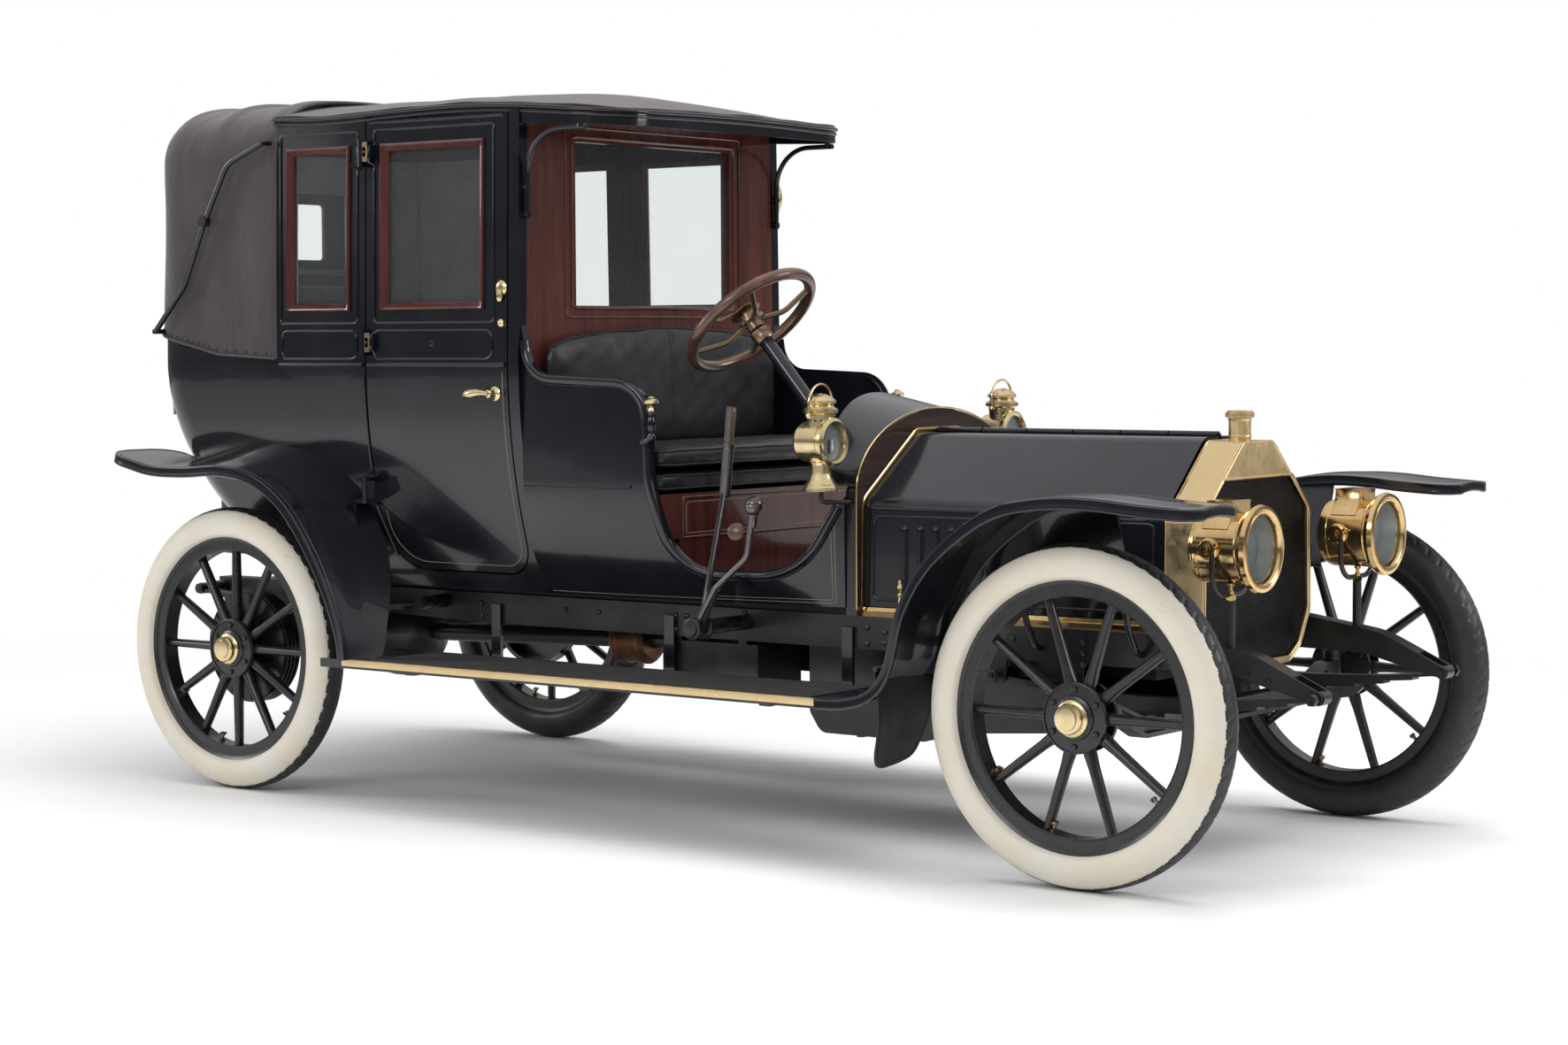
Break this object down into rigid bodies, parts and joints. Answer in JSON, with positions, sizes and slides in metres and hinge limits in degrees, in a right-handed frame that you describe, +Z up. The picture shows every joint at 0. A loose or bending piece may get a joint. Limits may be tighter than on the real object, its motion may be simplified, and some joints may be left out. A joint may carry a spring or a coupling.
{
  "type": "brass era landaulet car",
  "caption": "Brass era landaulet car on spoked wheels, with open driver's seat, closed rear cabin, leather rear top, brass radiator and lamps.",
  "frame": {"origin": "on the ground at the middle of the whole length and width", "axes": "+X forward, +Y to the car's left, +Z up"},
  "size_m": [4.11, 1.744, 2.1633],
  "materials": {
    "black": "gloss",
    "chassis": "satin",
    "iron": "satin",
    "brass": "polished",
    "rubber": "matte",
    "mahogany": "gloss",
    "boards": "matte",
    "leather": "satin",
    "top": "matte",
    "cloth": "matte",
    "glass": "clear",
    "core": "matte",
    "steel": "satin"
  },
  "bodies": {
    "chassis": {"chassis_frame": "chassis", "springs": "chassis", "front_axle": "chassis", "rear_axle": "chassis", "engine_and_gearbox": "iron", "undertray": "chassis", "radiator_shell": "brass", "radiator_core": "core", "scuttle": "black", "cabin_tub": "black", "quarter_frames": "black", "partition": "mahogany", "fixed_glass": "glass", "seat_side_panels": "black", "floor_boards": "boards", "body_bearers": "boards", "seat_base": "mahogany", "driver_cushions": "leather", "rear_cushions": "cloth", "roof": "black", "landau_top": "top", "roof_irons": "chassis", "front_wings": "black", "rear_wings": "black", "running_boards": "black", "headlamps": "brass", "side_lamps": "brass", "lamp_lenses": "glass", "lamp_brackets": "chassis", "steering_column": "black", "levers": "steel", "shaft_brake": "iron", "cross_members": "chassis"},
    "door_right": {"door_right": "black", "door_glass_right": "glass"},
    "bonnet_right": {"bonnet_right": "black"},
    "knuckle_right": {"knuckle_right": "chassis"},
    "door_left": {"door_left": "black", "door_glass_left": "glass", "door_lamp": "brass"},
    "bonnet_left": {"bonnet_left": "black"},
    "knuckle_left": {"knuckle_left": "chassis"},
    "tie_rod": {"tie_rod": "chassis"},
    "steering_wheel": {"steering_wheel": "mahogany"},
    "wheel_front_right": {"wheel_front_right": "chassis", "tyre_front_right": "rubber"},
    "wheel_front_left": {"wheel_front_left": "chassis", "tyre_front_left": "rubber"},
    "wheel_rear_right": {"wheel_rear_right": "chassis", "tyre_rear_right": "rubber"},
    "wheel_rear_left": {"wheel_rear_left": "chassis", "tyre_rear_left": "rubber"}
  },
  "joints": [
    {"name": "door_right_hinge", "type": "hinge", "parent": "chassis", "child": "door_right", "pos_m": [-1.043, -0.65, 1.39], "axis": [0, 0, -1], "range_deg": [0, 75]},
    {"name": "door_left_hinge", "type": "hinge", "parent": "chassis", "child": "door_left", "pos_m": [-1.043, 0.65, 1.39], "axis": [0, 0, 1], "range_deg": [0, 75]},
    {"name": "bonnet_right_hinge", "type": "hinge", "parent": "chassis", "child": "bonnet_right", "pos_m": [1.08, 0, 1.13], "axis": [-1, 0, 0], "range_deg": [0, 90]},
    {"name": "bonnet_left_hinge", "type": "hinge", "parent": "chassis", "child": "bonnet_left", "pos_m": [1.08, 0, 1.13], "axis": [1, 0, 0], "range_deg": [0, 90]},
    {"name": "steer_right", "type": "hinge", "parent": "chassis", "child": "knuckle_right", "pos_m": [1.55, -0.655, 0.44], "axis": [0, 0, 1], "range_deg": [-30, 30]},
    {"name": "steer_left", "type": "hinge", "parent": "chassis", "child": "knuckle_left", "pos_m": [1.55, 0.655, 0.44], "axis": [0, 0, 1], "range_deg": [-30, 30]},
    {"name": "tie_rod_pin", "type": "hinge", "parent": "knuckle_right", "child": "tie_rod", "pos_m": [1.42, -0.655, 0.374], "axis": [0, 0, 1], "range_deg": [-30, 30]},
    {"name": "steering_wheel_turn", "type": "hinge", "parent": "chassis", "child": "steering_wheel", "pos_m": [0.179, -0.304, 1.448], "axis": [-0.6626, 0, 0.749], "range_deg": [-450, 450]},
    {"name": "wheel_front_right_spin", "type": "hinge", "parent": "knuckle_right", "child": "wheel_front_right", "pos_m": [1.55, -0.74, 0.44], "axis": [0, 1, 0], "continuous": true},
    {"name": "wheel_rear_right_spin", "type": "hinge", "parent": "chassis", "child": "wheel_rear_right", "pos_m": [-1.515, -0.74, 0.44], "axis": [0, 1, 0], "continuous": true},
    {"name": "wheel_front_left_spin", "type": "hinge", "parent": "knuckle_left", "child": "wheel_front_left", "pos_m": [1.55, 0.74, 0.44], "axis": [0, 1, 0], "continuous": true},
    {"name": "wheel_rear_left_spin", "type": "hinge", "parent": "chassis", "child": "wheel_rear_left", "pos_m": [-1.515, 0.74, 0.44], "axis": [0, 1, 0], "continuous": true}
  ],
  "couplings": [
    {"joint": "steer_left", "follows": "steer_right", "ratio": 1},
    {"joint": "tie_rod_pin", "follows": "steer_right", "ratio": -1},
    {"joint": "steering_wheel_turn", "follows": "steer_right", "ratio": 15}
  ]
}
